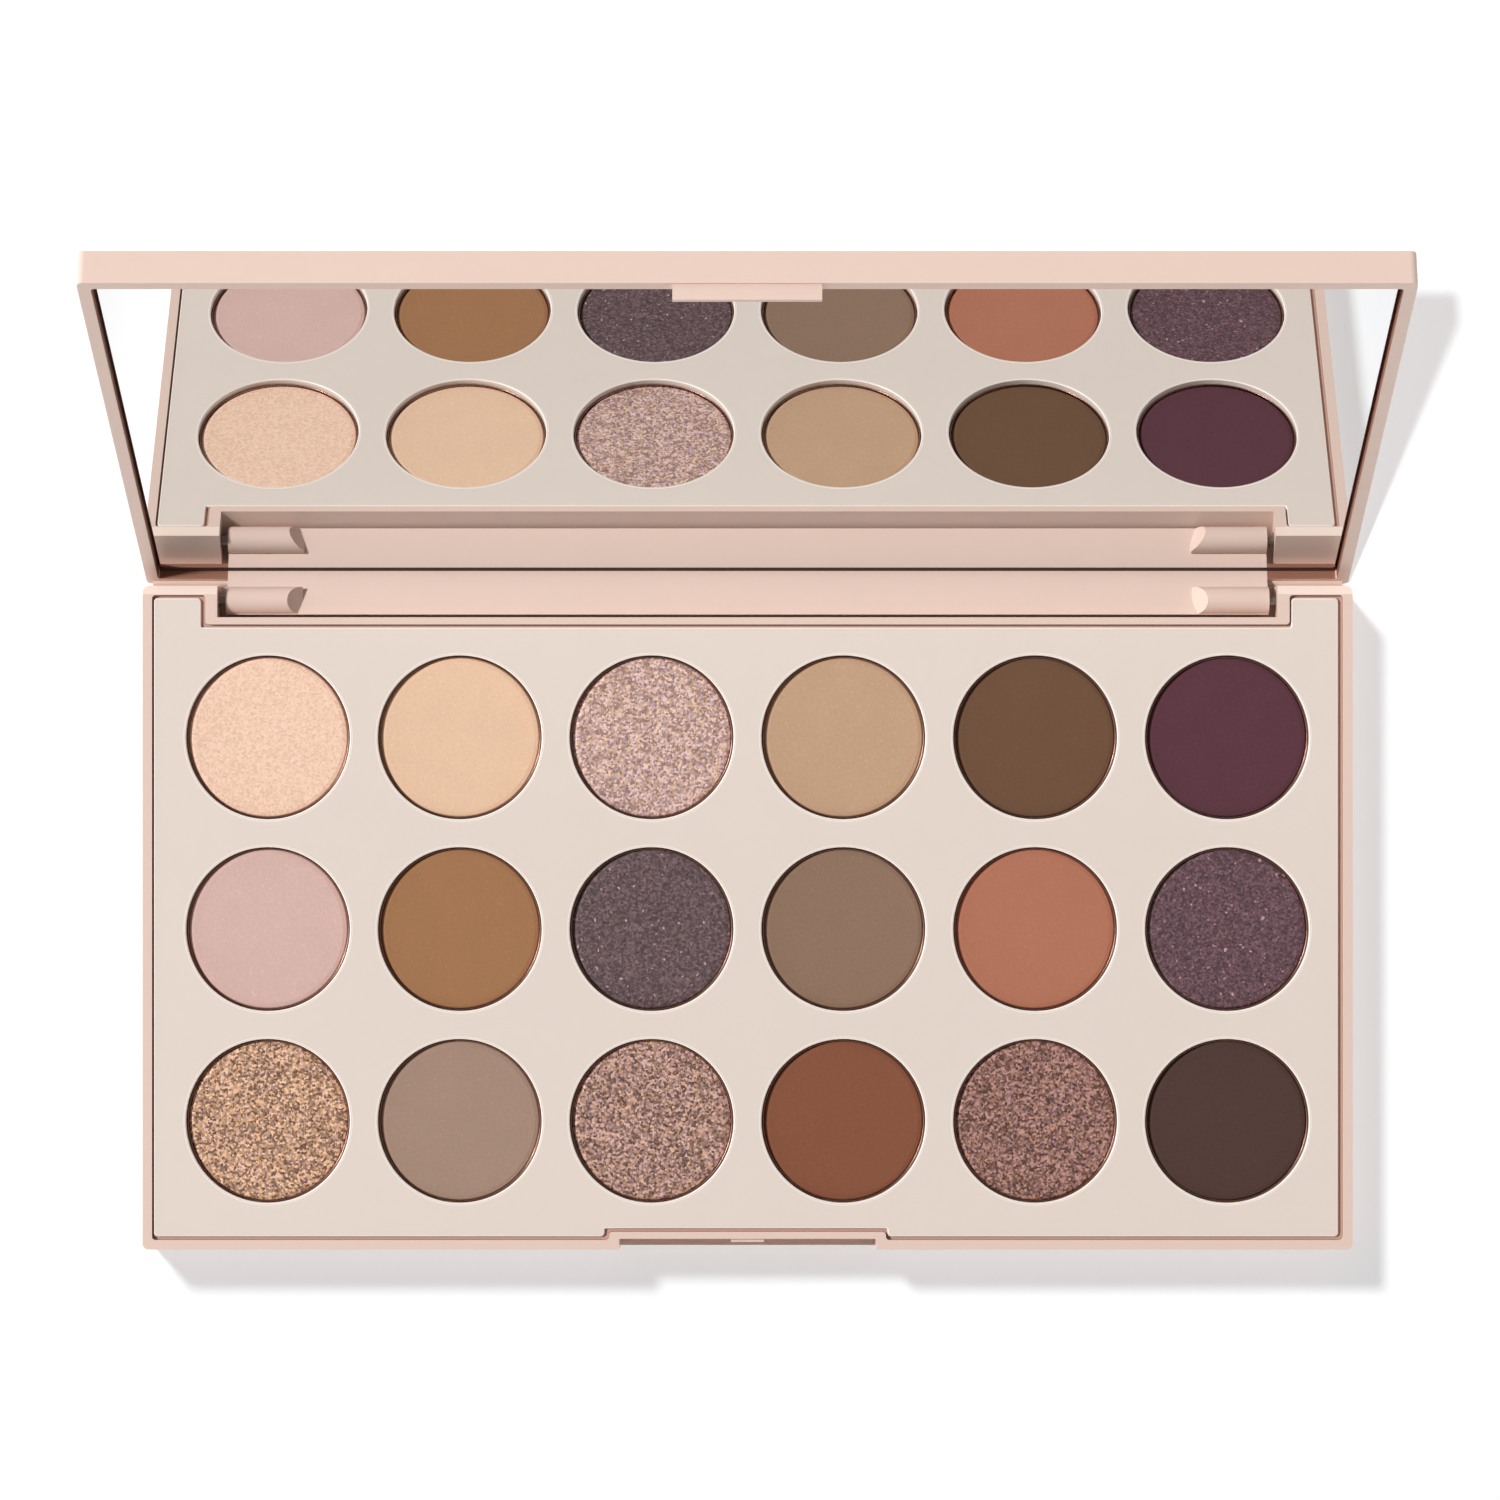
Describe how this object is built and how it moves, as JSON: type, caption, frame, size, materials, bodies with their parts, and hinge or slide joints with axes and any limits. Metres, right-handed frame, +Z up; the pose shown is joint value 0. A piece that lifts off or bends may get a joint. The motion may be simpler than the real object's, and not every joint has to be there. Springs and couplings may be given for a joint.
{
  "type": "eyeshadow palette",
  "caption": "Slim rectangular makeup palette: round pressed-powder pans in rows in a flush insert, and a full-size mirror in the hinged lid, shown open.",
  "frame": {"origin": "centre of the base's underside", "axes": "+Z up, +Y towards the hinge at the back, +X to the right seen from the front"},
  "size_m": [0.1766, 0.1387, 0.0926],
  "materials": {
    "blush_plastic": "satin moulded plastic, blush pink",
    "cream_plastic": "satin moulded plastic, warm cream",
    "mirror": "silvered mirror",
    "adhesive": "thin foam adhesive",
    "pan_metal": "drawn bright metal",
    "pin_steel": "drawn steel wire",
    "peach_satin": "satin pressed powder with fine shimmer",
    "pale_peach": "matte pressed powder",
    "rose_silver": "coarse pink-silver glitter",
    "warm_tan": "matte pressed powder",
    "olive_brown": "matte pressed powder",
    "deep_plum": "matte pressed powder",
    "dusty_pink": "satin pressed powder",
    "golden_brown": "matte pressed powder",
    "plum_grey": "pressed powder with fine shimmer",
    "taupe": "matte pressed powder",
    "terracotta": "matte pressed powder",
    "mauve_plum": "pressed powder with sparse bright sparkle",
    "gold_bronze": "coarse gold glitter",
    "mauve_taupe": "matte pressed powder",
    "rose_taupe": "coarse rose glitter",
    "rust_brown": "matte pressed powder",
    "mauve_brown": "coarse mauve glitter",
    "dark_brown": "matte pressed powder"
  },
  "bodies": {
    "base": {"base_shell": "blush_plastic", "pan_deck": "cream_plastic", "hinge_pin_left": "pin_steel", "hinge_pin_right": "pin_steel", "pan_r1c1": "pan_metal", "pan_r1c2": "pan_metal", "pan_r1c3": "pan_metal", "pan_r1c4": "pan_metal", "pan_r1c5": "pan_metal", "pan_r1c6": "pan_metal", "pan_r2c1": "pan_metal", "pan_r2c2": "pan_metal", "pan_r2c3": "pan_metal", "pan_r2c4": "pan_metal", "pan_r2c5": "pan_metal", "pan_r2c6": "pan_metal", "pan_r3c1": "pan_metal", "pan_r3c2": "pan_metal", "pan_r3c3": "pan_metal", "pan_r3c4": "pan_metal", "pan_r3c5": "pan_metal", "pan_r3c6": "pan_metal", "powder_r1c1": "peach_satin", "powder_r1c2": "pale_peach", "powder_r1c3": "rose_silver", "powder_r1c4": "warm_tan", "powder_r1c5": "olive_brown", "powder_r1c6": "deep_plum", "powder_r2c1": "dusty_pink", "powder_r2c2": "golden_brown", "powder_r2c3": "plum_grey", "powder_r2c4": "taupe", "powder_r2c5": "terracotta", "powder_r2c6": "mauve_plum", "powder_r3c1": "gold_bronze", "powder_r3c2": "mauve_taupe", "powder_r3c3": "rose_taupe", "powder_r3c4": "rust_brown", "powder_r3c5": "mauve_brown", "powder_r3c6": "dark_brown"},
    "lid": {"lid_shell": "blush_plastic", "mirror_glass": "mirror", "mirror_adhesive": "adhesive"}
  },
  "joints": [
    {"name": "lid_hinge", "type": "hinge", "parent": "base", "child": "lid", "pos_m": [0, 0.04635, 0.00575], "axis": [1, 0, 0], "range_deg": [0, 112.4]}
  ]
}
